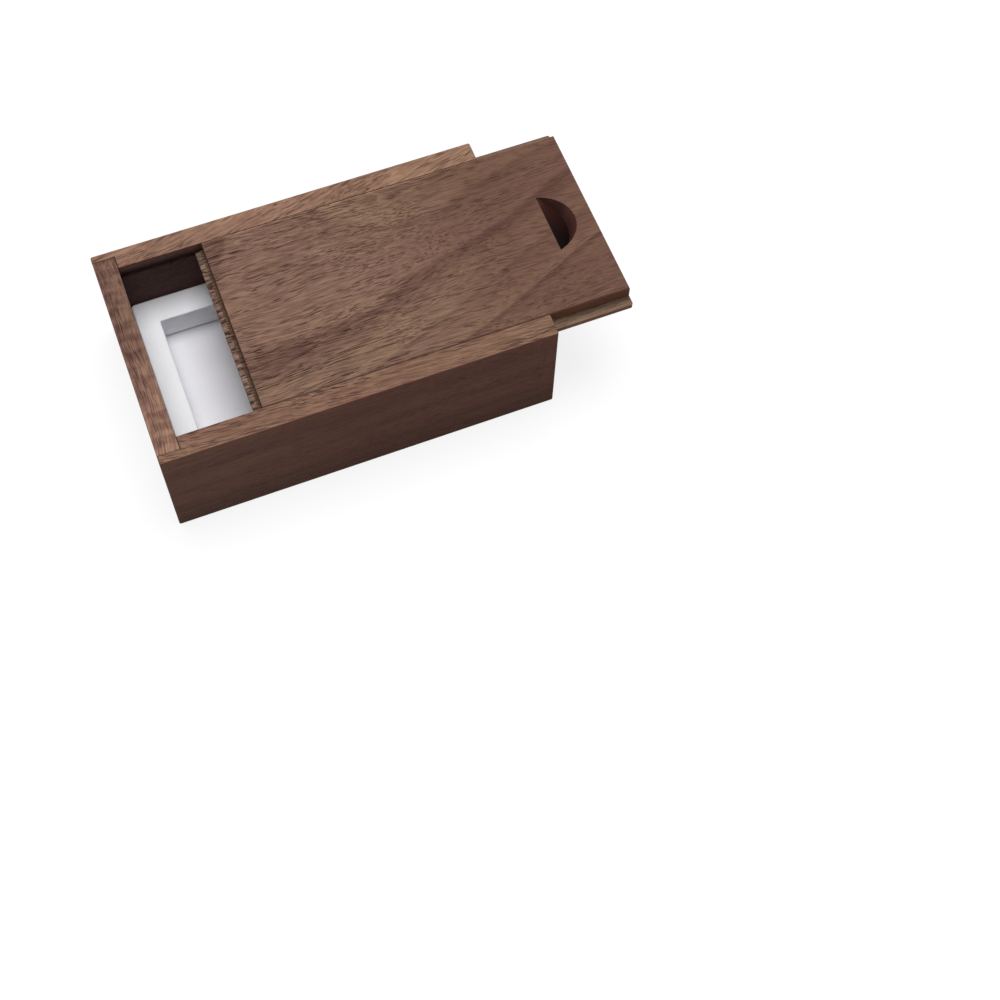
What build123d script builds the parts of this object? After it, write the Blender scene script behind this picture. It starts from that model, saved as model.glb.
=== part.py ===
from build123d import *
import os
from math import cos, radians, sin

# A small wooden box with a sliding lid and a foam insert for one memory stick, in millimetres.
# The origin is the middle of the underside. +X runs towards the open end, where the lid slides out,
# +Y towards the rear wall, and +Z is up. The lid is drawn slid part of the way out.

# Carcass
box_length = 90
box_width = 55
box_height = 30
side_wall_thickness = 5
end_wall_thickness = 5
bottom_panel_thickness = 3
joint_lip_thickness = 1.8
outer_edge_radius = 0.45
joint_line_depth = 0.12

# Grooves that the lid runs in
side_groove_back_thickness = 2.35
end_groove_back_thickness = 3

# Lid
lid_thickness = 4.2
lid_tongue_thickness = 1.3
lid_edge_radius = 0.2
tongue_corner_radius = 0.5
lid_pulled_out = 19

# Running clearances of the lid
plate_edge_clearance = 0.1
tongue_face_clearance = 0.15
tongue_tip_clearance = 0.25

# Thumb notch, made by a flat round cutter that leans towards the open end
notch_cutter_diameter = 16
notch_tilt_degrees = 32
notch_web_thickness = 1.3
notch_end_margin = 4

# Foam insert
foam_base_thickness = 4.4
foam_frame_thickness = 7.1
foam_end_border = 5.3
foam_side_border = 6.4
foam_fit_clearance = 0.05

# How far a cut runs past the faces that it opens
cut_overrun = 2

# Places that several pieces share
inner_half_length = box_length / 2 - end_wall_thickness
inner_half_width = box_width / 2 - side_wall_thickness
lip_half_width = box_width / 2 - joint_lip_thickness
lid_underside = box_height - lid_thickness
tongue_top = lid_underside + lid_tongue_thickness
groove_floor = lid_underside - tongue_face_clearance
groove_roof = tongue_top + tongue_face_clearance

os.makedirs("parts", exist_ok=True)


def grooved_section(wall_thickness, groove_back_thickness):
    """Corners of a wall's section, from its outer face inwards and up from its underside."""
    return [
        (0, 0),
        (joint_lip_thickness, 0),
        (joint_lip_thickness, bottom_panel_thickness),
        (wall_thickness, bottom_panel_thickness),
        (wall_thickness, groove_floor),
        (groove_back_thickness, groove_floor),
        (groove_back_thickness, groove_roof),
        (wall_thickness, groove_roof),
        (wall_thickness, box_height),
        (0, box_height),
    ]


# Front side wall: grooved for the lid, rabbeted for the bottom panel and for both end walls
front_face = Plane((0, -box_width / 2, 0), x_dir=(0, 1, 0), z_dir=(1, 0, 0))
with BuildPart() as front_side_wall:
    with BuildSketch(front_face):
        with BuildLine():
            Polyline(grooved_section(side_wall_thickness, side_groove_back_thickness), close=True)
        make_face()
    extrude(amount=box_length / 2, both=True)
    with BuildSketch(Plane.XY.offset(-cut_overrun)):
        with Locations((-inner_half_length, -lip_half_width)):
            Rectangle(end_wall_thickness + cut_overrun, side_wall_thickness, align=(Align.MAX, Align.MIN))
    extrude(amount=cut_overrun + box_height + cut_overrun, mode=Mode.SUBTRACT)
    with BuildSketch(Plane.XY.offset(-cut_overrun)):
        with Locations((inner_half_length, -lip_half_width)):
            Rectangle(end_wall_thickness + cut_overrun, side_wall_thickness, align=(Align.MIN, Align.MIN))
    extrude(amount=cut_overrun + groove_floor, mode=Mode.SUBTRACT)
    shoulder_edges = front_side_wall.edges().filter_by(Axis.Y)
    shoulder_edges = shoulder_edges.filter_by_position(Axis.X, -inner_half_length, -inner_half_length)
    chamfer(shoulder_edges.sort_by(Axis.Z)[-1], length=joint_line_depth)
    outer_edges = front_side_wall.faces().sort_by(Axis.Y)[0].edges()
    faces_along = front_side_wall.faces().sort_by(Axis.X)
    for end_face in (faces_along[0], faces_along[-1]):
        cross_edges = end_face.edges().filter_by(Axis.Y).sort_by(Axis.Z)
        outer_edges += [cross_edges[0], cross_edges[-1]]
    fillet(outer_edges, radius=outer_edge_radius)
front_side_wall.part.label = "front_side_wall"
export_step(front_side_wall.part, "parts/front_side_wall.step")

# Rear side wall: the front one, mirrored about the box's middle
with BuildPart() as rear_side_wall:
    mirror(front_side_wall.part, about=Plane.XZ)
rear_side_wall.part.label = "rear_side_wall"
export_step(rear_side_wall.part, "parts/rear_side_wall.step")

# Closed end wall: full height, between the side walls' lips, grooved for the lid's leading tongue
closed_face = Plane((-box_length / 2, 0, 0), x_dir=(1, 0, 0), z_dir=(0, -1, 0))
with BuildPart() as closed_end_wall:
    with BuildSketch(closed_face):
        with BuildLine():
            Polyline(grooved_section(end_wall_thickness, end_groove_back_thickness), close=True)
        make_face()
    extrude(amount=lip_half_width, both=True)
    long_edges = closed_end_wall.faces().sort_by(Axis.X)[0].edges().filter_by(Axis.Y)
    fillet(long_edges, radius=outer_edge_radius)
    faces_along = closed_end_wall.faces().sort_by(Axis.Y)
    for end_face in (faces_along[0], faces_along[-1]):
        joint_edges = end_face.edges().filter_by_position(
            Axis.X, -box_length / 2, joint_lip_thickness - box_length / 2, inclusive=(True, False)
        )
        chamfer(joint_edges + end_face.edges().sort_by(Axis.Z)[-1:], length=joint_line_depth)
closed_end_wall.part.label = "closed_end_wall"
export_step(closed_end_wall.part, "parts/closed_end_wall.step")

# Open end wall: low, so that the lid passes over it
open_face = Plane((box_length / 2, 0, 0), x_dir=(-1, 0, 0), z_dir=(0, 1, 0))
with BuildPart() as open_end_wall:
    with BuildSketch(open_face):
        with BuildLine():
            Polyline(
                (0, 0),
                (joint_lip_thickness, 0),
                (joint_lip_thickness, bottom_panel_thickness),
                (end_wall_thickness, bottom_panel_thickness),
                (end_wall_thickness, groove_floor),
                (0, groove_floor),
                close=True,
            )
        make_face()
    extrude(amount=lip_half_width, both=True)
    foot_edge = open_end_wall.faces().sort_by(Axis.X)[-1].edges().filter_by(Axis.Y).sort_by(Axis.Z)[0]
    fillet(foot_edge, radius=outer_edge_radius)
    faces_along = open_end_wall.faces().sort_by(Axis.Y)
    for end_face in (faces_along[0], faces_along[-1]):
        joint_edges = end_face.edges().filter_by_position(
            Axis.X, box_length / 2 - joint_lip_thickness, box_length / 2, inclusive=(False, True)
        )
        chamfer(joint_edges, length=joint_line_depth)
open_end_wall.part.label = "open_end_wall"
export_step(open_end_wall.part, "parts/open_end_wall.step")

# Bottom panel: let into the rabbets of all four walls, flush with their underside
with BuildPart() as bottom_panel:
    with BuildSketch():
        Rectangle(box_length - 2 * joint_lip_thickness, box_width - 2 * joint_lip_thickness)
    extrude(amount=bottom_panel_thickness)
    chamfer(bottom_panel.faces().sort_by(Axis.Z)[0].edges(), length=joint_line_depth)
bottom_panel.part.label = "bottom_panel"
export_step(bottom_panel.part, "parts/bottom_panel.step")

# Sliding lid: a board rabbeted on three sides, which leaves the tongue that runs in the grooves
lid_end = box_length / 2 + lid_pulled_out
lead_reach = end_wall_thickness - end_groove_back_thickness - tongue_tip_clearance
board_length = box_length / 2 + inner_half_length + lead_reach
board_width = box_width - 2 * (side_groove_back_thickness + tongue_tip_clearance)
rabbet_length = board_length + cut_overrun
rabbet_width = board_width + 2 * cut_overrun
plate_length = box_length / 2 + inner_half_length - plate_edge_clearance
plate_width = 2 * (inner_half_width - plate_edge_clearance)
notch_tilt = radians(notch_tilt_degrees)
notch_depth = lid_thickness - notch_web_thickness
notch_floor_length = notch_depth / sin(notch_tilt)
notch_edge = lid_end - notch_end_margin - notch_floor_length / cos(notch_tilt)
notch_floor = Plane(
    (notch_edge, 0, box_height),
    x_dir=(cos(notch_tilt), 0, -sin(notch_tilt)),
    z_dir=(sin(notch_tilt), 0, cos(notch_tilt)),
)
with BuildPart() as sliding_lid:
    with BuildSketch(Plane.XY.offset(lid_underside)):
        with Locations((lid_end, 0)):
            RectangleRounded(
                board_length, board_width, tongue_corner_radius, align=(Align.MAX, Align.CENTER)
            )
    extrude(amount=lid_thickness)
    with BuildSketch(Plane.XY.offset(tongue_top)):
        with Locations((lid_end, 0)):
            Rectangle(rabbet_length, rabbet_width, align=(Align.MAX, Align.CENTER))
            Rectangle(plate_length, plate_width, align=(Align.MAX, Align.CENTER), mode=Mode.SUBTRACT)
    extrude(amount=lid_thickness, mode=Mode.SUBTRACT)
    fillet(sliding_lid.faces().sort_by(Axis.Z)[-1].edges(), radius=lid_edge_radius)
    with BuildSketch(notch_floor):
        with Locations((notch_floor_length, 0)):
            Circle(notch_cutter_diameter / 2, align=(Align.MAX, Align.CENTER))
    extrude(amount=notch_depth / cos(notch_tilt) + cut_overrun, mode=Mode.SUBTRACT)
sliding_lid.part.label = "sliding_lid"
export_step(sliding_lid.part, "parts/sliding_lid.step")

# Foam base sheet: lies on the bottom panel and is the floor of the pocket
foam_length = 2 * (inner_half_length - foam_fit_clearance)
foam_width = 2 * (inner_half_width - foam_fit_clearance)
with BuildPart() as foam_base:
    with BuildSketch(Plane.XY.offset(bottom_panel_thickness)):
        Rectangle(foam_length, foam_width)
    extrude(amount=foam_base_thickness)
foam_base.part.label = "foam_base"
export_step(foam_base.part, "parts/foam_base.step")

# Foam frame sheet: lies on the base sheet, with the pocket cut through it
with BuildPart() as foam_frame:
    with BuildSketch(Plane.XY.offset(bottom_panel_thickness + foam_base_thickness)):
        Rectangle(foam_length, foam_width)
        Rectangle(foam_length - 2 * foam_end_border, foam_width - 2 * foam_side_border, mode=Mode.SUBTRACT)
    extrude(amount=foam_frame_thickness)
foam_frame.part.label = "foam_frame"
export_step(foam_frame.part, "parts/foam_frame.step")
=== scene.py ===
from collections import namedtuple
from math import cos, pi, radians, sin

import bmesh
import bpy
from bpy.props import FloatProperty, FloatVectorProperty, PointerProperty
from mathutils import Matrix, Vector, noise


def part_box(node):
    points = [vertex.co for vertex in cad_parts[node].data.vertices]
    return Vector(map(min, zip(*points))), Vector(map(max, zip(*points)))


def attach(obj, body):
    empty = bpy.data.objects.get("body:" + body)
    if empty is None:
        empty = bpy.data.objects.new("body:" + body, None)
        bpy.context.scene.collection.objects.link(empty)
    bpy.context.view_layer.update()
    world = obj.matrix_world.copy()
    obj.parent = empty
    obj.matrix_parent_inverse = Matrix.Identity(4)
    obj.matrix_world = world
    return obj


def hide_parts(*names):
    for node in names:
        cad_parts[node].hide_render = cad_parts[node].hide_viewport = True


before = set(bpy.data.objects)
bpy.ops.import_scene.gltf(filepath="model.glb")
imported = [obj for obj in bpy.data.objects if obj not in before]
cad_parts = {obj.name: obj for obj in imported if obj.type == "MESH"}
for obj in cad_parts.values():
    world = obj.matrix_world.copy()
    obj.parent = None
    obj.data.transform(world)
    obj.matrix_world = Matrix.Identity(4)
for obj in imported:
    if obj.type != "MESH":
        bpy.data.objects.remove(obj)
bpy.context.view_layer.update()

bl_info = {
    "name": "Walnut Slide Box",
    "version": (1, 0, 0),
    "blender": (4, 5, 0),
    "location": "3D View > Sidebar > Slide Box",
    "description": "Finishes a small walnut box with a sliding lid and a white foam insert",
    "category": "Object",
}

# The frame is in metres, and the wood and foam textures count in millimetres
MM = 0.001
PER_METRE = 1000.0


# Settings that a user would change


class WalnutSettings(bpy.types.PropertyGroup):
    """Colours and grain sizes of the oiled walnut."""

    light_colour: FloatVectorProperty(
        name="Light wood", description="Walnut between the dark bands", subtype="COLOR",
        default=(0.272, 0.169, 0.113), min=0.0, max=1.0,
    )
    red_colour: FloatVectorProperty(
        name="Red wood", description="Walnut in the reddish zones", subtype="COLOR",
        default=(0.243, 0.143, 0.103), min=0.0, max=1.0,
    )
    dark_colour: FloatVectorProperty(
        name="Dark wood", description="Walnut in the dark bands", subtype="COLOR",
        default=(0.100, 0.050, 0.040), min=0.0, max=1.0,
    )
    pore_colour: FloatVectorProperty(
        name="Pores", description="Open pores along the grain", subtype="COLOR",
        default=(0.038, 0.018, 0.014), min=0.0, max=1.0,
    )
    scorch_colour: FloatVectorProperty(
        name="Scorch", description="Wood that the notch's cutter has darkened", subtype="COLOR",
        default=(0.016, 0.0056, 0.0054), min=0.0, max=1.0,
    )
    end_grain: FloatProperty(
        name="End grain", description="Brightness of end grain, as a share of the long grain",
        default=0.45, min=0.0, max=1.0, subtype="FACTOR",
    )
    # Painted shade: a darker, cooler colour for the faces inside the box, where less light falls
    inner_shade: FloatVectorProperty(
        name="Inside", description="Colour of the faces inside the box, as shares of the others",
        subtype="COLOR", default=(0.50, 0.52, 0.63), min=0.0, max=1.0,
    )
    # Rounded edges that do not face down are drawn lighter
    edge_brightening: FloatProperty(
        name="Lightened edges", description="How much brighter the rounded edges are",
        default=0.40, min=0.0, max=1.0, subtype="FACTOR",
    )
    fibre_width: FloatProperty(
        name="Fibre width", description="Width of a light or dark fibre across the grain",
        default=0.34 * MM, min=0.02 * MM, unit="LENGTH",
    )
    pore_length: FloatProperty(
        name="Pore length", description="Length of a pore along the grain",
        default=4.6 * MM, min=0.2 * MM, unit="LENGTH",
    )
    pore_width: FloatProperty(
        name="Pore width", description="Width of a pore across the grain",
        default=0.25 * MM, min=0.02 * MM, unit="LENGTH",
    )
    relief: FloatProperty(
        name="Relief", description="Depth of the pores in the surface",
        default=0.08 * MM, min=0.0, unit="LENGTH",
    )
    joint_line: FloatProperty(
        name="Joint line", description="Width of the dark line where two boards meet",
        default=0.36 * MM, min=0.0, unit="LENGTH",
    )


class FoamSettings(bpy.types.PropertyGroup):
    """Shape and finish of the white foam insert."""

    colour: FloatVectorProperty(
        name="Colour", description="White of the foam", subtype="COLOR",
        default=(0.890, 0.895, 0.925), min=0.0, max=1.0,
    )
    base_tint: FloatVectorProperty(
        name="Base sheet", description="Colour of the base sheet, as shares of the frame sheet",
        subtype="COLOR", default=(0.885, 0.870, 0.880), min=0.0, max=1.0,
    )
    edge_radius: FloatProperty(
        name="Edge radius", description="Softness of the cut edges",
        default=0.30 * MM, min=0.01 * MM, unit="LENGTH",
    )
    corner_radius: FloatProperty(
        name="Corner radius", description="Rounding of the outer upright corners",
        default=1.2 * MM, min=0.01 * MM, unit="LENGTH",
    )
    pocket_radius: FloatProperty(
        name="Pocket radius", description="Rounding of the pocket's upright corners",
        default=0.35 * MM, min=0.01 * MM, unit="LENGTH",
    )
    seam_radius: FloatProperty(
        name="Seam radius", description="Rounding where the frame sheet meets the base sheet",
        default=0.40 * MM, min=0.01 * MM, unit="LENGTH",
    )
    draw_in: FloatProperty(
        name="Draw-in", description="How far a cut wall bows back between its edges",
        default=0.12 * MM, min=0.0, unit="LENGTH",
    )
    swell: FloatProperty(
        name="Swell", description="Depth of the slow hollows in the foam's top",
        default=0.10 * MM, min=0.0, unit="LENGTH",
    )
    cell_width: FloatProperty(
        name="Cell width", description="Width of a foam cell",
        default=0.22 * MM, min=0.02 * MM, unit="LENGTH",
    )
    mesh_step: FloatProperty(
        name="Mesh step", description="Spacing of the mesh along the sheets",
        default=1.25 * MM, min=0.2 * MM, unit="LENGTH",
    )


class StageSettings(bpy.types.PropertyGroup):
    """Floor, light and camera."""

    floor_width: FloatProperty(
        name="Floor width", description="Side of the square floor", default=6.0, min=0.5, unit="LENGTH",
    )
    floor_colour: FloatVectorProperty(
        name="Floor colour", description="Pale floor", subtype="COLOR",
        default=(0.20, 0.20, 0.20), min=0.0, max=1.0,
    )
    floor_lift: FloatProperty(
        name="Floor lift", description="White that the camera sees on top of the lit floor",
        default=0.82, min=0.0, max=1.0,
    )
    key_strength: FloatProperty(
        name="Key light", description="Strength of the large soft light", default=2.3, min=0.0,
    )
    key_height: FloatProperty(
        name="Key height", description="Angle of the soft light above the floor",
        default=radians(81.0), subtype="ANGLE",
    )
    key_turn: FloatProperty(
        name="Key turn", description="Heading of the soft light, from the open end towards the rear",
        default=radians(60.0), subtype="ANGLE",
    )
    key_spread: FloatProperty(
        name="Key spread", description="Angle that the soft light fills",
        default=radians(40.0), subtype="ANGLE",
    )
    fill_strength: FloatProperty(
        name="Fill light", description="Strength of the light from all around", default=0.39, min=0.0,
    )
    camera_place: FloatVectorProperty(
        name="Camera place", description="Where the camera stands", subtype="XYZ", unit="LENGTH",
        default=(-43.506 * MM, -201.168 * MM, 350.717 * MM),
    )
    camera_target: FloatVectorProperty(
        name="Camera target", description="Point of the floor that the camera faces", subtype="XYZ",
        unit="LENGTH", default=(30.532 * MM, -30.605 * MM, 0.0),
    )
    camera_roll: FloatProperty(
        name="Camera roll", description="Turn of the camera about its view, left side down",
        default=radians(2.337), subtype="ANGLE",
    )
    camera_lens: FloatProperty(
        name="Lens", description="Focal length for a sensor of 36 mm", default=61.943, min=1.0,
    )
    camera_shift: FloatProperty(
        name="Camera shift", description="Rise of the picture above the lens's axis, as a share of its width",
        default=-0.07, min=-1.0, max=1.0,
    )


# Shader nodes


def node(tree, kind, values=None, **settings):
    """Adds a node. values maps an input's name or number to a socket to link or to a value."""
    made = tree.nodes.new(kind)
    for key, value in settings.items():
        setattr(made, key, value)
    for key, value in (values or {}).items():
        if isinstance(value, bpy.types.NodeSocket):
            tree.links.new(value, made.inputs[key])
        else:
            made.inputs[key].default_value = value
    return made


def math(tree, operation, first, second=0.0, third=0.0):
    """One sum, product or the like of two or three numbers."""
    return node(tree, "ShaderNodeMath", {0: first, 1: second, 2: third}, operation=operation).outputs[0]


def vector_math(tree, operation, first, second=(0.0, 0.0, 0.0)):
    """One sum, product or the like of vectors."""
    return node(tree, "ShaderNodeVectorMath", {0: first, 1: second}, operation=operation).outputs["Vector"]


def axes(tree, vector):
    """The X, Y and Z of a vector."""
    parts = node(tree, "ShaderNodeSeparateXYZ", {0: vector}).outputs
    return parts["X"], parts["Y"], parts["Z"]


def largest(tree, vector):
    """The largest of a vector's X, Y and Z."""
    x, y, z = axes(tree, vector)
    return math(tree, "MAXIMUM", math(tree, "MAXIMUM", x, y), z)


def rest_of(tree, share):
    """What a share leaves of 1."""
    return math(tree, "SUBTRACT", 1.0, share)


def remap(tree, value, low, high, to_low=0.0, to_high=1.0):
    """Stretches low to high onto to_low to to_high, with smooth ends."""
    values = {"Value": value, "From Min": low, "From Max": high, "To Min": to_low, "To Max": to_high}
    return node(tree, "ShaderNodeMapRange", values, interpolation_type="SMOOTHSTEP").outputs["Result"]


def noise_value(tree, vector, scale, detail=2.0, roughness=0.5):
    """Soft noise about 0.5. scale holds the number of waves per millimetre along each axis."""
    spread = vector_math(tree, "MULTIPLY", vector, scale)
    values = {"Vector": spread, "Scale": 1.0, "Detail": detail, "Roughness": roughness}
    return node(tree, "ShaderNodeTexNoise", values).outputs["Fac"]


def noise_along(tree, value):
    """Soft noise about 0.5 along one number."""
    values = {"W": value, "Scale": 1.0, "Detail": 1.0}
    return node(tree, "ShaderNodeTexNoise", values, noise_dimensions="1D").outputs["Fac"]


def wander(tree, vector, scale):
    """A vector that drifts slowly about zero. scale is as for noise_value."""
    spread = vector_math(tree, "MULTIPLY", vector, scale)
    drift = node(tree, "ShaderNodeTexNoise", {"Vector": spread, "Scale": 1.0, "Detail": 1.0})
    return vector_math(tree, "SUBTRACT", drift.outputs["Color"], (0.5, 0.5, 0.5))


def mix_colour(tree, share, first, second, blend="MIX"):
    """Blends two colours."""
    made = node(tree, "ShaderNodeMix", data_type="RGBA", blend_type=blend)
    sockets = {socket.identifier: socket for socket in made.inputs}
    for name, value in (("Factor_Float", share), ("A_Color", first), ("B_Color", second)):
        if isinstance(value, bpy.types.NodeSocket):
            tree.links.new(value, sockets[name])
        else:
            sockets[name].default_value = value
    return next(socket for socket in made.outputs if socket.identifier == "Result_Color")


def opaque(colour):
    """Three numbers of a colour as the four that a socket takes."""
    return (*colour, 1.0)


def brighten(tree, colour, factor, share=1.0):
    """Multiplies a colour by a number's socket or by a colour, as far as share goes."""
    if isinstance(factor, bpy.types.NodeSocket):
        factor = node(tree, "ShaderNodeCombineXYZ", {0: factor, 1: factor, 2: factor}).outputs["Vector"]
    else:
        factor = opaque(factor)
    return mix_colour(tree, share, colour, factor, blend="MULTIPLY")


def inside_box(tree, place, low, high, blur):
    """1 within a box, falling to 0 over blur outside it, all in millimetres."""
    low, high = Vector(low), Vector(high)
    offset = vector_math(tree, "ABSOLUTE", vector_math(tree, "SUBTRACT", place, (low + high) / 2))
    beyond = largest(tree, vector_math(tree, "SUBTRACT", offset, (high - low) / 2))
    return remap(tree, beyond, 0.0, blur, 1.0, 0.0)


def new_material(name):
    """An empty node material with its output and one principled shader."""
    material = bpy.data.materials.new(name)
    material.use_nodes = True
    tree = material.node_tree
    tree.nodes.clear()
    shader = node(tree, "ShaderNodeBsdfPrincipled")
    output = node(tree, "ShaderNodeOutputMaterial")
    tree.links.new(shader.outputs["BSDF"], output.inputs["Surface"])
    return material, tree, shader


def millimetres(tree):
    """An object's own coordinates in millimetres, and its normal."""
    source = node(tree, "ShaderNodeTexCoord").outputs
    return vector_math(tree, "MULTIPLY", source["Object"], [PER_METRE] * 3), source["Normal"]


def board_box(name):
    """Corners of a node's box in millimetres."""
    low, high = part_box(name)
    return Vector(low) * PER_METRE, Vector(high) * PER_METRE


# Walnut


# grain: turn of the grain from the length of the box, about the vertical, in degrees
# log: turn of the tree's axis from the grain, about the three axes, in degrees
# heart: where the tree's heart lies from the board, in millimetres
# band: width of a growth band across the tree, in millimetres
# year: which of the tree's years the bands start from
# dip: slope at which the grain runs down into the board at its high end
# place: where in the tree the board was cut, in millimetres
# tint: colour of the board's low and high end against the other boards
# fade: where along the board the one tint gives way to the other, as shares of its length
# side: colour of its upright faces against its top, at its low and high end, partly painted shade
# figure: strength of the fibres and pores at the board's low and high end
# mottle: how blotchy the board is
Board = namedtuple("Board", "grain log heart band year dip place tint fade side figure mottle")
BOARDS = {
    "front_side_wall": Board(
        grain=-5.0, log=(0.0, -2.0, -3.0), heart=(0.0, 30.0, 46.0), band=9.0, year=3.0,
        dip=0.03, place=(37.0, 53.0, 29.0),
        tint=((1.10, 1.03, 0.99), (1.02, 0.96, 0.92)), fade=(0.35, 0.80),
        side=((0.82, 0.74, 0.83), (0.72, 0.59, 0.65)), figure=(1.2, 1.2), mottle=0.10,
    ),
    "rear_side_wall": Board(
        grain=12.0, log=(0.0, 3.0, 12.0), heart=(0.0, -25.0, 38.0), band=9.0, year=21.0,
        dip=0.05, place=(222.0, 88.0, 4.0),
        tint=((1.34, 1.30, 1.23), (1.58, 1.59, 1.45)), fade=(0.35, 0.80),
        side=((0.57, 0.48, 0.57), (0.57, 0.48, 0.57)), figure=(1.2, 1.2), mottle=0.10,
    ),
    "closed_end_wall": Board(
        grain=90.0, log=(0.0, 4.0, 6.0), heart=(0.0, 22.0, 50.0), band=9.0, year=47.0,
        dip=0.04, place=(44.0, 176.0, 8.0),
        tint=((1.44, 1.40, 1.41), (0.95, 0.90, 0.91)), fade=(0.20, 0.62),
        side=((0.60, 0.51, 0.57), (0.90, 0.76, 0.85)), figure=(1.1, 0.9), mottle=0.52,
    ),
    "open_end_wall": Board(
        grain=90.0, log=(0.0, -3.0, 5.0), heart=(0.0, 28.0, 44.0), band=9.0, year=60.0,
        dip=0.04, place=(205.0, 60.0, 33.0),
        tint=((1.04, 1.0, 1.0), (0.97, 0.96, 0.96)), fade=(0.35, 0.80),
        side=((0.85, 0.72, 0.80), (0.85, 0.72, 0.80)), figure=(1.0, 1.0), mottle=0.25,
    ),
    "bottom_panel": Board(
        grain=0.0, log=(0.0, 2.0, 7.0), heart=(0.0, 40.0, 52.0), band=9.0, year=75.0,
        dip=0.03, place=(77.0, 140.0, 90.0),
        tint=((1.04, 0.95, 0.96), (1.10, 0.99, 0.99)), fade=(0.35, 0.80),
        side=((1.0, 1.0, 1.0), (1.0, 1.0, 1.0)), figure=(1.0, 1.0), mottle=0.20,
    ),
    "sliding_lid": Board(
        grain=0.0, log=(0.0, 5.6, 30.3), heart=(0.0, -13.7, -93.9), band=4.25, year=100.0,
        dip=0.06, place=(370.0, 70.0, 120.0),
        tint=((1.05, 1.04, 1.02), (0.68, 0.60, 0.605)), fade=(0.35, 0.80),
        side=((1.08, 0.87, 0.82), (1.08, 0.87, 0.82)), figure=(1.45, 0.65), mottle=0.05,
    ),
}
# Where along a board the one side colour, partly painted shade, gives way to the other, as shares of its
# length
SIDE_FADE = (0.12, 0.52)
# Strength of the figure, and of the rings and blotches, on upright faces, as shares of those on top
UPRIGHT_FIGURE = 0.45
UPRIGHT_RINGS = 0.4
# Waves of the grain's slow sway and quick curl per millimetre, along and across it
SWAY_WAVES = (0.022, 0.05, 0.05)
CURL_WAVES = (0.10, 0.22, 0.22)
# How far they move the grain and the tree's axis, in millimetres
SWAY_SIZE = (0.0, 6.0, 6.0)
CURL_SIZE = (0.0, 0.9, 0.9)
LOG_SWAY_SIZE = (0.0, 3.0, 3.0)
# Waves of streaks, blotches, red zones and strips of pores per millimetre, along and across the grain
STREAK_WAVES = (0.035, 0.9, 0.9)
MOTTLE_WAVES = (0.40, 0.16, 0.16)
ZONE_WAVES = (0.04, 0.22, 0.22)
STRIP_WAVES = (0.03, 0.5, 0.5)
# Width of a fibre as a share of its length, and number of fine lines in a growth band
FIBRE_STRETCH = 0.06
FINE_LINES = 5.0
# Strength of the faintest and the strongest growth band
GROWTH_SPREAD = (0.25, 1.45)
# How much growth lines, the pale wood before them, fine lines, streaks, fibres and pores darken the wood
LINE_DARK = 0.25
PALE_DARK = -0.13
FINE_DARK = 0.06
STREAK_DARK = 0.13
FIBRE_DARK = 0.40
PORE_DARK = 0.62
# Sheen of the oil
OIL_SHEEN = 0.06
# How far the inner faces and the backs of the grooves lie from the foam, at most, in millimetres
INNER_MARGIN = 0.1
GROOVE_REACH = 2.8
GROOVE_MARGIN = 0.3
# How far the tongue rises from the lid's underside, in millimetres
TONGUE_RISE = 1.4
# Share of the inner faces' painted shade that is left at the rim of the box
RIM_SHADE = 0.05
# How far the shade of the lid's grooves spreads over the inner faces, in millimetres, and its brightness
GROOVE_SPREAD = 1.6
GROOVE_SHADE = (0.42, 0.34, 0.34)
# How far up the walls their foot is darkened with painted shade, in millimetres, and its brightness
FOOT_HEIGHT = 15.0
FOOT_SHADE = 0.60
Wood = namedtuple("Wood", "place normal colour relief roughness")


def ring_darkness(tree, ring, inputs):
    """How much the growth bands darken the wood: a dark line where each starts, after paler wood."""
    age = math(tree, "MULTIPLY_ADD", noise_along(tree, ring), 0.5, ring)
    year = math(tree, "FRACT", age)
    number = math(tree, "ADD", math(tree, "ROUND", age), inputs["Year"])
    growth = node(tree, "ShaderNodeTexWhiteNoise", {"W": number}, noise_dimensions="1D").outputs["Value"]
    growth = remap(tree, growth, 0.0, 1.0, *GROWTH_SPREAD)
    line = math(tree, "MULTIPLY", remap(tree, year, 0.0, 0.06), remap(tree, year, 0.04, 0.45, 1.0, 0.0))
    pale = math(tree, "MULTIPLY", remap(tree, year, 0.60, 0.95), remap(tree, year, 0.97, 1.0, 1.0, 0.0))
    dark = math(tree, "MULTIPLY_ADD", line, LINE_DARK, math(tree, "MULTIPLY", pale, PALE_DARK))
    return math(tree, "MULTIPLY", dark, math(tree, "MULTIPLY", growth, inputs["Rings"]))


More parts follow.
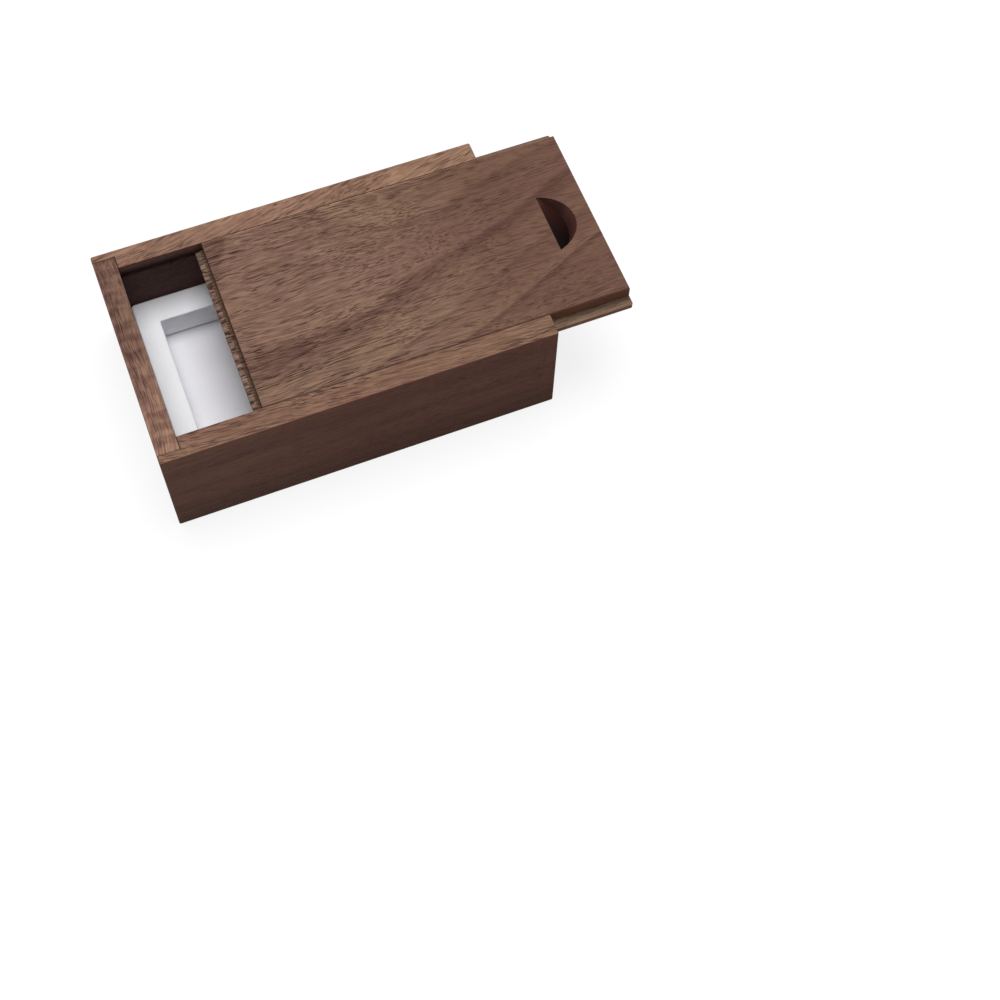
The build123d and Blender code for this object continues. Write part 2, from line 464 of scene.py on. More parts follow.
def walnut_grain(settings):
    """A node group with the colour, relief and roughness of walnut, in millimetres along the grain."""
    tree = bpy.data.node_groups.new("walnut_grain", "ShaderNodeTree")
    for name in ("Grain", "Log"):
        tree.interface.new_socket(name, in_out="INPUT", socket_type="NodeSocketVector")
    for name in ("Band", "Year", "Rings", "Figure", "Mottle"):
        tree.interface.new_socket(name, in_out="INPUT", socket_type="NodeSocketFloat")
    for name, kind in (("Colour", "Color"), ("Relief", "Float"), ("Roughness", "Float")):
        tree.interface.new_socket(name, in_out="OUTPUT", socket_type="NodeSocket" + kind)
    inputs = node(tree, "NodeGroupInput").outputs
    figure = inputs["Figure"]

    sway = wander(tree, inputs["Grain"], SWAY_WAVES)
    curl = wander(tree, inputs["Grain"], CURL_WAVES)
    bend = vector_math(tree, "MULTIPLY", sway, SWAY_SIZE)
    bend = vector_math(tree, "ADD", bend, vector_math(tree, "MULTIPLY", curl, CURL_SIZE))
    grain = vector_math(tree, "ADD", inputs["Grain"], bend)
    log = vector_math(tree, "ADD", inputs["Log"], vector_math(tree, "MULTIPLY", sway, LOG_SWAY_SIZE))
    across = vector_math(tree, "MULTIPLY", log, (0.0, 1.0, 1.0))
    ring = node(tree, "ShaderNodeVectorMath", {0: across}, operation="LENGTH").outputs["Value"]
    ring = math(tree, "DIVIDE", ring, inputs["Band"])

    per_fibre = MM / settings.fibre_width
    fine = noise_along(tree, math(tree, "MULTIPLY", ring, FINE_LINES))
    streak = noise_value(tree, grain, STREAK_WAVES)
    fibre = noise_value(tree, grain, (per_fibre * FIBRE_STRETCH, per_fibre, per_fibre), roughness=0.6)
    mottle = noise_value(tree, grain, MOTTLE_WAVES)
    zone = math(tree, "ADD", noise_along(tree, ring), noise_value(tree, grain, ZONE_WAVES))
    zone = remap(tree, zone, 0.84, 1.26)

    dark = ring_darkness(tree, ring, inputs)
    dark = math(tree, "MULTIPLY_ADD", remap(tree, fine, 0.36, 0.64), FINE_DARK, dark)
    streak_dark = math(tree, "MULTIPLY", remap(tree, streak, 0.34, 0.66), figure)
    dark = math(tree, "MULTIPLY_ADD", streak_dark, STREAK_DARK, dark)
    fibre_dark = math(tree, "MULTIPLY", remap(tree, fibre, 0.36, 0.64), figure)
    dark = math(tree, "MULTIPLY_ADD", fibre_dark, FIBRE_DARK, dark)
    dark = math(tree, "MULTIPLY_ADD", remap(tree, mottle, 0.35, 0.65), inputs["Mottle"], dark)
    colour = mix_colour(tree, zone, opaque(settings.light_colour), opaque(settings.red_colour))
    colour = mix_colour(tree, dark, colour, opaque(settings.dark_colour))

    pore_scale = (MM / settings.pore_length, MM / settings.pore_width, MM / settings.pore_width)
    pores = remap(tree, noise_value(tree, grain, pore_scale, detail=1.5), 0.53, 0.65)
    strips = remap(tree, noise_value(tree, grain, STRIP_WAVES), 0.36, 0.60, 0.25, 1.0)
    pores = math(tree, "MULTIPLY", math(tree, "MULTIPLY", pores, strips), figure)
    pore_dark = math(tree, "MULTIPLY", pores, PORE_DARK)
    colour = mix_colour(tree, pore_dark, colour, opaque(settings.pore_colour))

    relief = math(tree, "MULTIPLY_ADD", pores, -1.0, math(tree, "MULTIPLY", fibre, 0.5))
    rough = math(tree, "MULTIPLY_ADD", pores, 0.14, math(tree, "MULTIPLY_ADD", fibre, 0.12, 0.60))
    node(tree, "NodeGroupOutput", {"Colour": colour, "Relief": relief, "Roughness": rough})
    return tree


def grain_group(settings):
    """The walnut node group, made once and shared by the boards."""
    return bpy.data.node_groups.get("walnut_grain") or walnut_grain(settings)


def laid_grain(tree, board, place, upright, reach, settings):
    """The walnut of one board, laid along its grain and about its tree's heart."""
    turn = (0.0, 0.0, -radians(board.grain))
    along = node(tree, "ShaderNodeMapping", {"Vector": place, "Location": board.place, "Rotation": turn})
    heart = node(tree, "ShaderNodeMapping", {"Vector": place, "Rotation": turn})
    heart = node(tree, "ShaderNodeMapping", {
        "Vector": heart.outputs["Vector"], "Location": board.heart,
        "Rotation": [-radians(angle) for angle in board.log],
    })
    length = reach[2] - reach[1]
    fall = math(tree, "MULTIPLY", remap(tree, *reach, 0.0, board.dip), remap(tree, *reach, 0.0, length))
    fall = node(tree, "ShaderNodeCombineXYZ", {"Z": fall}).outputs["Vector"]
    calm = remap(tree, upright, 0.0, 1.0, 1.0, UPRIGHT_FIGURE)
    return node(tree, "ShaderNodeGroup", {
        "Grain": vector_math(tree, "ADD", along.outputs["Vector"], fall),
        "Log": heart.outputs["Vector"],
        "Band": board.band,
        "Year": board.year,
        "Rings": remap(tree, upright, 0.0, 1.0, 1.0, UPRIGHT_RINGS),
        "Figure": math(tree, "MULTIPLY", remap(tree, *reach, *board.figure), calm),
        "Mottle": remap(tree, upright, 0.0, 1.0, board.mottle, board.mottle * UPRIGHT_RINGS),
    }, node_tree=grain_group(settings)).outputs


def fade_along(tree, reach, ends, fade):
    """A colour that gives way to another along a board. fade holds where, as shares of its length."""
    at, low, high = reach
    start, stop = (low + (high - low) * share for share in fade)
    return mix_colour(tree, remap(tree, at, start, stop), opaque(ends[0]), opaque(ends[1]))


def walnut_surface(tree, name, settings):
    """The bare wood of one board: long grain, darker end grain, brighter rounded edges, upright faces darker
    in part with painted shade, and painted shade towards the floor.
    """
    board = BOARDS[name]
    low, high = board_box(name)
    place, normal = millimetres(tree)
    upright = remap(tree, math(tree, "ABSOLUTE", axes(tree, normal)[2]), 0.5, 0.9, 1.0, 0.0)
    way = 0 if high.x - low.x > high.y - low.y else 1
    reach = (axes(tree, place)[way], low[way], high[way])
    wood = laid_grain(tree, board, place, upright, reach, settings)

    tint = fade_along(tree, reach, board.tint, board.fade)
    side = fade_along(tree, reach, board.side, SIDE_FADE)
    colour = mix_colour(tree, 1.0, wood["Colour"], tint, blend="MULTIPLY")
    # Upright faces take the side colour, which is partly painted shade
    colour = mix_colour(tree, upright, colour, side, blend="MULTIPLY")
    # Painted shade, darker towards the floor
    foot = remap(tree, axes(tree, place)[2], 0.0, FOOT_HEIGHT, FOOT_SHADE, 1.0)
    colour = brighten(tree, colour, foot)
    grain_way = (cos(radians(board.grain)), sin(radians(board.grain)), 0.0)
    facing = node(tree, "ShaderNodeVectorMath", {0: normal, 1: grain_way}, operation="DOT_PRODUCT")
    cut = remap(tree, math(tree, "ABSOLUTE", facing.outputs["Value"]), 0.25, 0.95)
    colour = brighten(tree, colour, [settings.end_grain] * 3, cut)
    square = largest(tree, vector_math(tree, "ABSOLUTE", normal))
    edge_lift = remap(tree, square, 0.80, 0.985, settings.edge_brightening, 0.0)
    edge_lift = math(tree, "MULTIPLY", edge_lift, remap(tree, axes(tree, normal)[2], -0.2, 0.1))
    colour = brighten(tree, colour, math(tree, "ADD", edge_lift, 1.0))
    return Wood(place, normal, colour, wood["Relief"], wood["Roughness"])


def oil(tree, shader, wood, settings):
    """Links a board's wood to its shader, with a thin satin oil finish."""
    bump = node(tree, "ShaderNodeBump", {"Height": wood.relief, "Strength": 1.0, "Distance": settings.relief})
    tree.links.new(wood.colour, shader.inputs["Base Color"])
    tree.links.new(wood.roughness, shader.inputs["Roughness"])
    tree.links.new(bump.outputs["Normal"], shader.inputs["Normal"])
    shader.inputs["Specular IOR Level"].default_value = OIL_SHEEN


def inner_finish(tree, name, wood, settings):
    """A board's colour, darker with painted shade inside the box and in and about its grooves."""
    margin = Vector((INNER_MARGIN, INNER_MARGIN, INNER_MARGIN))
    low, high = board_box("foam_base")
    high.z = board_box(name)[1].z - 2 * INNER_MARGIN
    inner = inside_box(tree, wood.place, low - margin, high + margin, INNER_MARGIN / 2)
    if name in ("bottom_panel", "open_end_wall"):
        return brighten(tree, wood.colour, settings.inner_shade, inner)
    lid_low, lid_high = board_box("sliding_lid")
    # Painted shade, fading out towards the rim and darkest about the grooves' mouths
    rim = remap(tree, axes(tree, wood.place)[2], lid_low.z + TONGUE_RISE, lid_high.z, 1.0, RIM_SHADE)
    reach = Vector((GROOVE_REACH, GROOVE_REACH, 0.0))
    low.z, high.z = lid_low.z - GROOVE_MARGIN, lid_low.z + TONGUE_RISE + GROOVE_MARGIN
    groove = inside_box(tree, wood.place, low - reach, high + reach, INNER_MARGIN / 2)
    low.z, high.z = lid_low.z + TONGUE_RISE / 2, lid_low.z + TONGUE_RISE
    depth = inside_box(tree, wood.place, low - reach, high + reach, GROOVE_SPREAD)
    depth = math(tree, "MULTIPLY", depth, math(tree, "MAXIMUM", inner, groove))
    inner = math(tree, "MAXIMUM", math(tree, "MULTIPLY", inner, rim), groove)
    return brighten(tree, brighten(tree, wood.colour, settings.inner_shade, inner), GROOVE_SHADE, depth)


# How dark the line is at the joints of each board of the carcass
JOINT_STRENGTH = {
    "front_side_wall": 0.66,
    "rear_side_wall": 0.72,
    "closed_end_wall": 0.30,
    "open_end_wall": 0.50,
    "bottom_panel": 0.72,
}


def joint_lines(tree, name, place, settings):
    """1 in the dark lines where a board of the carcass meets its neighbours."""
    low, high = board_box(name)
    end_low, end_high = board_box("closed_end_wall")
    width = settings.joint_line * PER_METRE
    if name.endswith("side_wall"):
        line_low = (end_high.x - width / 2, max(low.y, end_low.y), low.z)
        line_high = (end_high.x + width / 2, min(high.y, end_high.y), high.z)
        return inside_box(tree, place, line_low, line_high, width / 2)
    x, y, _ = axes(tree, place)
    edge = math(tree, "SUBTRACT", high.y, math(tree, "ABSOLUTE", y))
    if name == "bottom_panel":
        edge = math(tree, "MINIMUM", edge, math(tree, "SUBTRACT", high.x, math(tree, "ABSOLUTE", x)))
    return remap(tree, edge, width / 2, width, 1.0, 0.0)


def carcass_material(name, settings):
    """The finish of a wall or of the panel, with dark lines at its glued joints."""
    material, tree, shader = new_material("walnut_" + name)
    wood = walnut_surface(tree, name, settings)
    colour = inner_finish(tree, name, wood, settings)
    line = math(tree, "MULTIPLY", joint_lines(tree, name, wood.place, settings), JOINT_STRENGTH[name])
    colour = mix_colour(tree, line, colour, opaque(settings.pore_colour))
    oil(tree, shader, wood._replace(colour=colour), settings)
    return material


# Bounds of the thumb notch's finish, from the lid's open end and from its sides, in millimetres
NOTCH_REACH = 13.0
NOTCH_END_MARGIN = 3.0
NOTCH_SIDE_MARGIN = 14.0
# Wood that is left under the notch, and blur at the limits of the lid's cuts, in millimetres
NOTCH_WEB = 1.3
CUT_BLUR = 0.05
# Share of scorch in the notch, and brightness of the wood that shows through it
SCORCH_SHARE = 0.88
SCORCHED_WOOD = (0.5, 0.4, 0.4)
# Brightness of the notch's wall and floor, painted light on the wall and painted shade on the floor, and how
# far the wall takes the floor's painted shade at its foot
WALL_LIGHT = (4.6, 5.1, 5.0)
FLOOR_LIGHT = (0.62, 0.48, 0.49)
WALL_FOOT = 0.50
# Between which normals the wall turns to the front of the box, and its painted shade there
WALL_TURN = (-0.50, -0.20)
TURNED_WALL = (0.50, 0.52, 0.54)
# Brightness of the notch at its front and rear
NOTCH_FADE = (0.48, 1.3)
# Brightness of its floor at two places across the lid, in millimetres
FLOOR_SPAN = (-5.0, 4.0)
FLOOR_FADE = (0.35, 1.65)
# Where painted light falls on its floor at the rear, across the lid and down from its top, in millimetres,
# and how brightly
GLOW_SPAN = (2.8, 6.5)
GLOW_DEPTH = 1.3
GLOW_LIGHT = (1.8, 2.5, 1.8)
# Width of the side tongues, of the leading tongue and of the part of it that is torn, in millimetres
TONGUE_WIDTH = 2.5
LEAD_TONGUE_WIDTH = 1.75
TORN_WIDTH = 1.25
# Width of the painted shadow line along the lid's front edge and of the painted light on its rear edge, in
# millimetres, and their strength
PAINTED_EDGE_WIDTH = 0.4
SHADOW_LINE_STRENGTH = 0.6
REAR_EDGE_LIGHT = (1.9, 1.9, 1.9)
# Brightness of the side tongues against the lid, and at their root and tip, with painted shade at the root
# and painted light at the tip
TONGUE_TINT = (1.17, 1.39, 1.35)
TONGUE_FADE = (0.60, 1.20)
# Waves of the torn wood per millimetre, its brightness, share and relief, and the whole part's brightness
TORN_WAVES = (0.40, 1.35, 0.60)
TORN_TINT = (1.86, 1.62, 1.90)
TORN_SHARE = 0.85
TORN_RELIEF = -1.5
WHOLE_TINT = (0.56, 0.55, 0.46)
# Where the torn part starts to end, as a share of its width
TORN_END = 0.8


def notch_colour(tree, wood, settings):
    """The lid's colour with its thumb notch, which the cutter has scorched, with painted light on its wall
    and on the rear of its floor, and painted shade on its floor, at its foot and where its wall faces the
    front.
    """
    low, high = board_box("sliding_lid")
    notch_low = (high.x - NOTCH_REACH, low.y + NOTCH_SIDE_MARGIN, low.z + CUT_BLUR)
    notch_high = (high.x - NOTCH_END_MARGIN, high.y - NOTCH_SIDE_MARGIN, high.z - CUT_BLUR)
    notch = inside_box(tree, wood.place, notch_low, notch_high, CUT_BLUR)
    _, y, z = axes(tree, wood.place)
    normal_x, normal_y, _ = axes(tree, wood.normal)
    scorch = brighten(tree, wood.colour, SCORCHED_WOOD)
    scorch = mix_colour(tree, SCORCH_SHARE, scorch, opaque(settings.scorch_colour))
    # Painted light and shade on the scorched notch, set by which way each face looks
    turned = remap(tree, normal_y, *WALL_TURN, 1.0, 0.0)
    wall = brighten(tree, brighten(tree, scorch, WALL_LIGHT), TURNED_WALL, turned)
    floor = remap(tree, normal_x, -0.2, 0.5)
    foot = remap(tree, z, low.z + NOTCH_WEB, high.z, WALL_FOOT, 0.0)
    deep = brighten(tree, scorch, FLOOR_LIGHT)
    colour = mix_colour(tree, math(tree, "MAXIMUM", foot, floor), wall, deep)
    colour = brighten(tree, colour, remap(tree, y, notch_low[1], notch_high[1], *NOTCH_FADE))
    faded = brighten(tree, colour, remap(tree, y, *FLOOR_SPAN, *FLOOR_FADE))
    colour = mix_colour(tree, floor, colour, faded)
    glow = math(tree, "MULTIPLY", remap(tree, y, *GLOW_SPAN), remap(tree, z, high.z - GLOW_DEPTH, high.z))
    colour = brighten(tree, colour, GLOW_LIGHT, math(tree, "MULTIPLY", glow, floor))
    return mix_colour(tree, notch, wood.colour, colour)


def tongue_box(tree, wood, length):
    """1 in the lid's tongue, over a length from its leading end, in millimetres."""
    low, high = board_box("sliding_lid")
    tongue_low = (low.x, low.y, low.z + CUT_BLUR)
    tongue_high = (low.x + length, high.y, low.z + TONGUE_RISE)
    return inside_box(tree, wood.place, tongue_low, tongue_high, CUT_BLUR)


def tongue_colour(tree, wood, settings):
    """The lid's colour with its side tongues, darker at their root with painted shade, a painted shadow line
    along its front edge and painted light on its rear edge.
    """
    low, high = board_box("sliding_lid")
    tongue = tongue_box(tree, wood, high.x - low.x)
    front, rear = low.y + TONGUE_WIDTH, high.y - TONGUE_WIDTH
    y = axes(tree, wood.place)[1]
    # Painted shadow line along the front edge, painted light on the rear edge and painted shade across the
    # tongues
    top = remap(tree, axes(tree, wood.normal)[2], 0.2, 0.5, 0.0, SHADOW_LINE_STRENGTH)
    seam = math(tree, "MULTIPLY", remap(tree, y, front + PAINTED_EDGE_WIDTH / 2, front + PAINTED_EDGE_WIDTH, 1.0, 0.0), top)
    seam = math(tree, "MULTIPLY", seam, rest_of(tree, tongue))
    colour = mix_colour(tree, seam, wood.colour, opaque(settings.pore_colour))
    edge = math(tree, "MULTIPLY", remap(tree, y, rear - PAINTED_EDGE_WIDTH, rear), rest_of(tree, tongue))
    colour = brighten(tree, colour, REAR_EDGE_LIGHT, edge)
    shade = remap(tree, math(tree, "ABSOLUTE", y), rear, high.y, *TONGUE_FADE)
    side = brighten(tree, brighten(tree, colour, TONGUE_TINT), shade)
    return mix_colour(tree, tongue, colour, side)


def torn_lead(tree, wood, settings):
    """The lid's colour and relief with its leading tongue, which the cutter has torn."""
    low, _ = board_box("sliding_lid")
    lead = tongue_box(tree, wood, LEAD_TONGUE_WIDTH)
    whole = remap(tree, axes(tree, wood.place)[0], low.x + TORN_WIDTH * TORN_END, low.x + TORN_WIDTH)
    torn = noise_value(tree, wood.place, TORN_WAVES, detail=3.0, roughness=0.6)
    torn = math(tree, "MULTIPLY", remap(tree, torn, 0.46, 0.62), rest_of(tree, whole))
    gouge = mix_colour(tree, torn, brighten(tree, wood.colour, TORN_TINT), opaque(settings.pore_colour))
    gouge = brighten(tree, gouge, WHOLE_TINT, whole)
    colour = mix_colour(tree, math(tree, "MULTIPLY", lead, TORN_SHARE), wood.colour, gouge)
    relief = math(tree, "MULTIPLY_ADD", math(tree, "MULTIPLY", lead, torn), TORN_RELIEF, wood.relief)
    return colour, relief


def lid_material(settings):
    """The finish of the lid, with its thumb notch and its tongue."""
    material, tree, shader = new_material("walnut_sliding_lid")
    wood = walnut_surface(tree, "sliding_lid", settings)
    wood = wood._replace(colour=notch_colour(tree, wood, settings))
    wood = wood._replace(colour=tongue_colour(tree, wood, settings))
    colour, relief = torn_lead(tree, wood, settings)
    oil(tree, shader, wood._replace(colour=colour, relief=relief), settings)
    return material


def dress(name, material):
    """Gives a board of the frame its finish."""
    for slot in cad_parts[name].material_slots:
        slot.material = material


# Foam


# Mesh steps round a corner, round a cut edge and down a pocket wall
CORNER_STEPS = 6
EDGE_STEPS = 4
WALL_STEPS = 6
# How far the shade reaches up from the seam of the sheets, in millimetres, and its brightness
SEAM_RISE = 0.8
SEAM_SHADE = 0.45
# Where the shade starts and ends from the gap round the sheets, in millimetres, and its brightness
GAP_REACH = (0.15, 0.45)
GAP_SHADE = 0.30
# How much lighter the foam is between its cells, and its brightness in slow clouds
CELL_SHADE = 0.05
CLOUD_SHADE = (0.94, 0.97)
CLOUD_WAVES = (0.12, 0.12, 0.12)
# Depth of a cell as a share of its width, and sheen of the foam
CELL_DEPTH = 0.3
FOAM_SHEEN = 0.25
# Widths of the foam's large and small hollows, share of the small ones, and level above which it is flat
HOLLOW_WIDTH = 9.0 * MM
DIMPLE_WIDTH = 3.1 * MM
DIMPLE_SHARE = 0.4
FLAT_LEVEL = 0.15
# Points of the mesh that lie closer than this become one
MERGE_DISTANCE = 0.001 * MM


def foam_material(name, tint, settings):
    """White closed-cell foam, with fine cells and slightly grey hollows, and painted shade at the foot of its
    front-facing walls and at the gap round it.
    """
    material, tree, shader = new_material("white_" + name)
    place, normal = millimetres(tree)
    low, high = board_box(name)
    cells = node(tree, "ShaderNodeTexVoronoi", {"Vector": place, "Scale": MM / settings.cell_width})
    cells = cells.outputs["Distance"]
    clouds = remap(tree, noise_value(tree, place, CLOUD_WAVES, detail=3.0), 0.3, 0.7, *CLOUD_SHADE)
    shade = math(tree, "MULTIPLY_ADD", remap(tree, cells, 0.1, 0.8), CELL_SHADE, clouds)
    depth = settings.cell_width * CELL_DEPTH
    bump = node(tree, "ShaderNodeBump", {"Height": cells, "Strength": 0.5, "Distance": depth})
    colour = opaque(Vector(settings.colour) * Vector(tint))
    # Painted shade at the seam of the sheets, on faces that look to the front, and in the gap round the
    # sheets
    rise = remap(tree, axes(tree, place)[2], low.z, low.z + SEAM_RISE, SEAM_SHADE, 1.0)
    rise = math(tree, "MAXIMUM", rise, remap(tree, axes(tree, normal)[1], -0.35, -0.10))
    offset = vector_math(tree, "ABSOLUTE", vector_math(tree, "SUBTRACT", place, (low + high) / 2))
    x, y, _ = axes(tree, vector_math(tree, "SUBTRACT", (high - low) / 2, offset))
    gap = remap(tree, math(tree, "MINIMUM", x, y), *GAP_REACH, GAP_SHADE, 1.0)
    shade = math(tree, "MULTIPLY", shade, math(tree, "MULTIPLY", rise, gap))
    tree.links.new(brighten(tree, colour, shade), shader.inputs["Base Color"])
    tree.links.new(bump.outputs["Normal"], shader.inputs["Normal"])
    tree.links.new(remap(tree, cells, 0.0, 1.0, 0.78, 0.92), shader.inputs["Roughness"])
    shader.inputs["Specular IOR Level"].default_value = FOAM_SHEEN
    return material


def rounded_loop(half_x, half_y, radius, height, counts):
    """Points round a rectangle with rounded corners, with counts steps along the X and Y sides."""
    points = []
    for corner, (way_x, way_y) in enumerate(((1, 1), (-1, 1), (-1, -1), (1, -1))):
        middle = Vector((way_x * (half_x - radius), way_y * (half_y - radius), height))
        for step in range(CORNER_STEPS + 1):
            angle = pi / 2 * (corner + step / CORNER_STEPS)
            points.append(middle + radius * Vector((cos(angle), sin(angle), 0.0)))
        side = 2 * ((half_x, half_y)[corner % 2] - radius)
        steps = counts[corner % 2]
        start = points[-1]
        way = Vector((-sin(angle), cos(angle), 0.0))
        points += [start + way * (side * step / steps) for step in range(1, steps)]
    return points


def quarter(radius):
    """Inset and rise along a quarter round, from its foot to its side."""
    angles = [pi / 2 * step / EDGE_STEPS for step in range(EDGE_STEPS + 1)]
    return [(radius * (1.0 - sin(angle)), radius * (1.0 - cos(angle))) for angle in angles]


def between(start, end, steps):
    """Sizes of the loops from one loop to another, without the first."""
    shares = [step / steps for step in range(1, steps + 1)]
    return [[a + (b - a) * share for a, b in zip(start, end)] for share in shares]


def foam_profile(half_x, half_y, foot, top, settings, pocket):
    """Half sizes, corner radius and height of the loops round a sheet: outer side, top, pocket, underside."""
    edge = quarter(settings.edge_radius)
    corner = settings.corner_radius
    outer = [(half_x - inset, half_y - inset, corner - inset, foot + rise) for inset, rise in edge]
    outer += [(half_x - inset, half_y - inset, corner - inset, top - rise) for inset, rise in reversed(edge)]
    if pocket is None:
        inner = [(half_x - half_y, 0.0, 0.0, top), (half_x - half_y, 0.0, 0.0, foot)]
    else:
        wide, deep = pocket
        wall_top, wall_foot = top - settings.edge_radius, foot + settings.seam_radius
        wall = [(inset, top - rise) for inset, rise in edge]
        for step in range(1, WALL_STEPS):
            share = step / WALL_STEPS
            wall.append((settings.draw_in * sin(pi * share), wall_top + (wall_foot - wall_top) * share))
        wall += [(inset, foot + rise) for inset, rise in reversed(quarter(settings.seam_radius))]
        inner_corner = settings.pocket_radius
        inner = [(wide + inset, deep + inset, inner_corner + inset, height) for inset, height in wall]
    steps = max(3, round((half_y - inner[0][1]) / settings.mesh_step))
    return outer + between(outer[-1], inner[0], steps) + inner[1:] + between(inner[-1], outer[0], steps)[:-1]


def foam_sheet(name, settings, tint=(1.0, 1.0, 1.0), pocket=None):
    """A soft sheet in the space of its solid: rounded cut edges, slow hollows, drawn-in pocket walls."""
    low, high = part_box(name)
    half = (high - low) / 2
    centre = Vector(((low.x + high.x) / 2, (low.y + high.y) / 2, 0.0))
    counts = [round(2 * size / settings.mesh_step) for size in half.xy]
    mesh = bpy.data.meshes.new("soft_" + name)
    shape = bmesh.new()
    rows = []
    for ring in foam_profile(half.x, half.y, low.z, high.z, settings, pocket):
        rows.append([shape.verts.new(centre + point) for point in rounded_loop(*ring, counts)])
    for row, after in zip(rows, rows[1:] + rows[:1]):
        for here in range(len(row)):
            shape.faces.new((row[here - 1], row[here], after[here], after[here - 1]))
    bmesh.ops.remove_doubles(shape, verts=shape.verts, dist=MERGE_DISTANCE)
    for vertex in shape.verts:
        rise = (vertex.co.z - low.z) / (high.z - low.z)
        wave = noise.noise(vertex.co / HOLLOW_WIDTH) + DIMPLE_SHARE * noise.noise(vertex.co / DIMPLE_WIDTH)
        vertex.co.z += settings.swell * rise * rise * min(0.0, wave - FLAT_LEVEL)
    bmesh.ops.recalc_face_normals(shape, faces=shape.faces)
    shape.to_mesh(mesh)
    shape.free()
    mesh.polygons.foreach_set("use_smooth", [True] * len(mesh.polygons))
    sheet = bpy.data.objects.new("soft_" + name, mesh)
    bpy.context.scene.collection.objects.link(sheet)
    mesh.materials.append(foam_material(name, tint, settings))
    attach(sheet, "box")
    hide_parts(name)


def pocket_size():
    """Half the length and half the width of the pocket that is cut in the foam frame."""
    low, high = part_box("foam_frame")
    middle = (low + high) / 2
    points = [vertex.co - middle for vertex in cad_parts["foam_frame"].data.vertices]
    inner = [point for point in points if abs(point.x) < middle.x - low.x - MM]
    return max(abs(point.x) for point in inner), max(abs(point.y) for point in inner)


# Stage


# Width of the camera's sensor, in millimetres, and the nearest that it sees, in metres
SENSOR_WIDTH = 36.0
CLIP_START = 0.01


def seen_directly(tree):
    """1 for a ray that shows the background itself, and 0 for one that lights a surface."""
    path = node(tree, "ShaderNodeLightPath").outputs
    seen = math(tree, "MAXIMUM", path["Is Camera Ray"], path["Is Glossy Ray"])
    return math(tree, "MAXIMUM", seen, path["Is Transmission Ray"])


def lay_floor(settings):
    """A wide pale floor under the box, which keeps a soft shadow."""
    half = settings.floor_width / 2
    corners = [(-half, -half, 0.0), (half, -half, 0.0), (half, half, 0.0), (-half, half, 0.0)]
    mesh = bpy.data.meshes.new("studio_floor")
    mesh.from_pydata(corners, [], [(0, 1, 2, 3)])
    floor = bpy.data.objects.new("studio_floor", mesh)
    bpy.context.scene.collection.objects.link(floor)
    material = bpy.data.materials.new("pale_floor")
    material.use_nodes = True
    tree = material.node_tree
    tree.nodes.clear()
    matt = node(tree, "ShaderNodeBsdfDiffuse", {"Color": opaque(settings.floor_colour)})
    lift = math(tree, "MULTIPLY", seen_directly(tree), settings.floor_lift)
    glow = node(tree, "ShaderNodeEmission", {"Strength": lift})
    both = node(tree, "ShaderNodeAddShader", {0: matt.outputs["BSDF"], 1: glow.outputs["Emission"]})
    node(tree, "ShaderNodeOutputMaterial", {"Surface": both.outputs["Shader"]})
    mesh.materials.append(material)


def hang_light(settings):
    """One large soft light, high above the box."""
    lamp = bpy.data.lights.new("soft_key", "SUN")
    lamp.energy = settings.key_strength
    lamp.angle = settings.key_spread
    key = bpy.data.objects.new("soft_key", lamp)
    bpy.context.scene.collection.objects.link(key)
    flat = cos(settings.key_height)
    source = Vector((flat * cos(settings.key_turn), flat * sin(settings.key_turn), sin(settings.key_height)))
    key.rotation_euler = source.to_track_quat("Z", "Y").to_euler()


def light_world(settings):
    """Even light from all around, and a white background."""
    world = bpy.data.worlds.new("studio_air")
    bpy.context.scene.world = world
    world.use_nodes = True
    tree = world.node_tree
    tree.nodes.clear()
    white = 1.0 - settings.fill_strength
    strength = math(tree, "MULTIPLY_ADD", seen_directly(tree), white, settings.fill_strength)
    air = node(tree, "ShaderNodeBackground", {"Color": (1.0, 1.0, 1.0, 1.0), "Strength": strength})
    node(tree, "ShaderNodeOutputWorld", {"Surface": air.outputs["Background"]})


def set_camera(settings):
    """The camera, looking down on the box from its front."""
    camera = bpy.data.cameras.new("camera")
    camera.sensor_fit = "HORIZONTAL"
    camera.sensor_width = SENSOR_WIDTH
    camera.lens = settings.camera_lens
    camera.shift_y = settings.camera_shift
    camera.clip_start = CLIP_START
    view = bpy.data.objects.new("camera", camera)
    bpy.context.scene.collection.objects.link(view)
    place = Vector(settings.camera_place)
    look = (Vector(settings.camera_target) - place).normalized()
    right = look.cross(Vector((0.0, 0.0, 1.0))).normalized()
    right = Matrix.Rotation(-settings.camera_roll, 3, look) @ right
    turn = Matrix((right, right.cross(look), -look)).transposed()
    view.matrix_world = Matrix.Translation(place) @ turn.to_4x4()
    bpy.context.scene.camera = view


# Operators


class SLIDEBOX_OT_carcass(bpy.types.Operator):
    """Finish the four walls and the bottom panel in walnut"""

    bl_idname = "slide_box.carcass"
    bl_label = "Finish Carcass"

    def execute(self, context):
        for name in BOARDS:
            if name != "sliding_lid":
                dress(name, carcass_material(name, context.scene.slide_box_walnut))
        return {"FINISHED"}


class SLIDEBOX_OT_lid(bpy.types.Operator):
    """Finish the sliding lid in walnut, with its dark thumb notch"""

    bl_idname = "slide_box.lid"
    bl_label = "Finish Lid"

    def execute(self, context):
        dress("sliding_lid", lid_material(context.scene.slide_box_walnut))
        return {"FINISHED"}


class SLIDEBOX_OT_foam_base(bpy.types.Operator):
    """Make the soft base sheet under the pocket"""

    bl_idname = "slide_box.foam_base"
    bl_label = "Make Foam Base"

    def execute(self, context):
        settings = context.scene.slide_box_foam
        foam_sheet("foam_base", settings, tint=settings.base_tint)
        return {"FINISHED"}


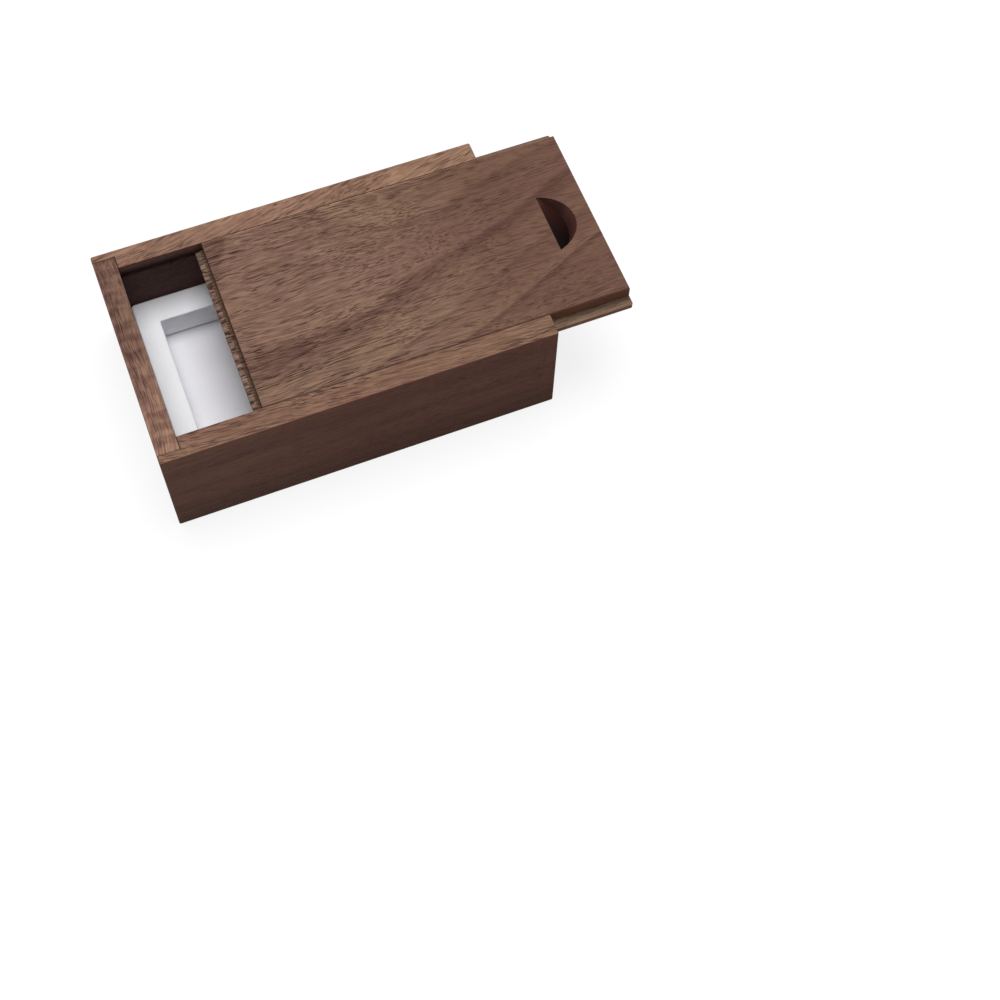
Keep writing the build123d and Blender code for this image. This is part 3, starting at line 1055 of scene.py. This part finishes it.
class SLIDEBOX_OT_foam_frame(bpy.types.Operator):
    """Make the soft frame sheet with its cut pocket"""

    bl_idname = "slide_box.foam_frame"
    bl_label = "Make Foam Frame"

    def execute(self, context):
        foam_sheet("foam_frame", context.scene.slide_box_foam, pocket=pocket_size())
        return {"FINISHED"}


class SLIDEBOX_OT_stage(bpy.types.Operator):
    """Lay the floor, hang the light and set up the camera"""

    bl_idname = "slide_box.stage"
    bl_label = "Set Stage"

    def execute(self, context):
        settings = context.scene.slide_box_stage
        lay_floor(settings)
        hang_light(settings)
        light_world(settings)
        set_camera(settings)
        context.scene.view_settings.view_transform = "Standard"
        return {"FINISHED"}


# Panel and registration


class SLIDEBOX_PT_panel(bpy.types.Panel):
    """Lists the steps that finish the box, and their settings"""

    bl_label = "Slide Box"
    bl_idname = "SLIDEBOX_PT_panel"
    bl_space_type = "VIEW_3D"
    bl_region_type = "UI"
    bl_category = "Slide Box"

    def draw(self, context):
        for operator in OPERATORS:
            self.layout.operator(operator.bl_idname)
        for name, kind in SETTINGS.items():
            for key in kind.__annotations__:
                self.layout.prop(getattr(context.scene, name), key)


SETTINGS = {
    "slide_box_walnut": WalnutSettings,
    "slide_box_foam": FoamSettings,
    "slide_box_stage": StageSettings,
}
OPERATORS = (
    SLIDEBOX_OT_carcass,
    SLIDEBOX_OT_lid,
    SLIDEBOX_OT_foam_base,
    SLIDEBOX_OT_foam_frame,
    SLIDEBOX_OT_stage,
)
CLASSES = (*SETTINGS.values(), *OPERATORS, SLIDEBOX_PT_panel)


def register():
    """Adds the classes, and the settings to the scene."""
    for kind in CLASSES:
        bpy.utils.register_class(kind)
    for name, kind in SETTINGS.items():
        setattr(bpy.types.Scene, name, PointerProperty(type=kind))


def unregister():
    """Takes the settings and the classes away again."""
    for name in SETTINGS:
        delattr(bpy.types.Scene, name)
    for kind in reversed(CLASSES):
        bpy.utils.unregister_class(kind)


def main():
    """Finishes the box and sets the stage."""
    register()
    bpy.ops.slide_box.carcass()
    bpy.ops.slide_box.lid()
    bpy.ops.slide_box.foam_base()
    bpy.ops.slide_box.foam_frame()
    bpy.ops.slide_box.stage()


if __name__ == "__main__":
    main()
